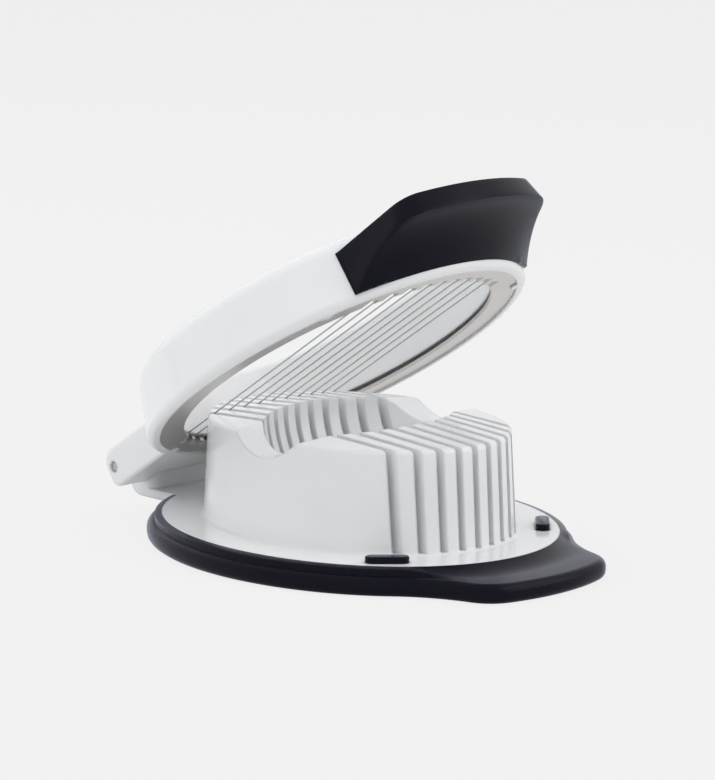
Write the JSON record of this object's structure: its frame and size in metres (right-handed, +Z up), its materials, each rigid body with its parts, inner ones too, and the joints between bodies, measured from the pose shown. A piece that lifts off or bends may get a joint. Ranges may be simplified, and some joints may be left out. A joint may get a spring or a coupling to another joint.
{
  "type": "egg slicer",
  "caption": "Oval hinged egg slicer: slotted cradle on a soft-edged base, and a ring lid with a soft grip that carries parallel cutting wires.",
  "frame": {"origin": "on the resting plane, under the middle of the overall length, which is the middle of the oval base plate", "axes": "+X to the front lip, +Y to the side away from the camera, +Z up"},
  "size_m": [0.1588, 0.109, 0.1088],
  "materials": {
    "white_plastic": "gloss",
    "black_rubber": "satin",
    "plate_steel": "satin",
    "wire_steel": "drawn",
    "pin_steel": "turned"
  },
  "bodies": {
    "base": {"base_moulding": "white_plastic", "base_ring": "black_rubber", "stop_pad_near": "black_rubber", "stop_pad_far": "black_rubber", "hinge_pin": "pin_steel"},
    "lid": {"lid_frame": "white_plastic", "lid_grip": "black_rubber", "wire_plate": "plate_steel", "wire_01": "wire_steel", "wire_02": "wire_steel", "wire_03": "wire_steel", "wire_04": "wire_steel", "wire_05": "wire_steel", "wire_06": "wire_steel", "wire_07": "wire_steel", "wire_08": "wire_steel", "wire_09": "wire_steel", "wire_10": "wire_steel"}
  },
  "joints": [
    {"name": "lid_hinge", "type": "hinge", "parent": "base", "child": "lid", "pos_m": [-0.0742, 0, 0.0152], "axis": [0, -1, 0], "range_deg": [-32.9, 67]}
  ]
}
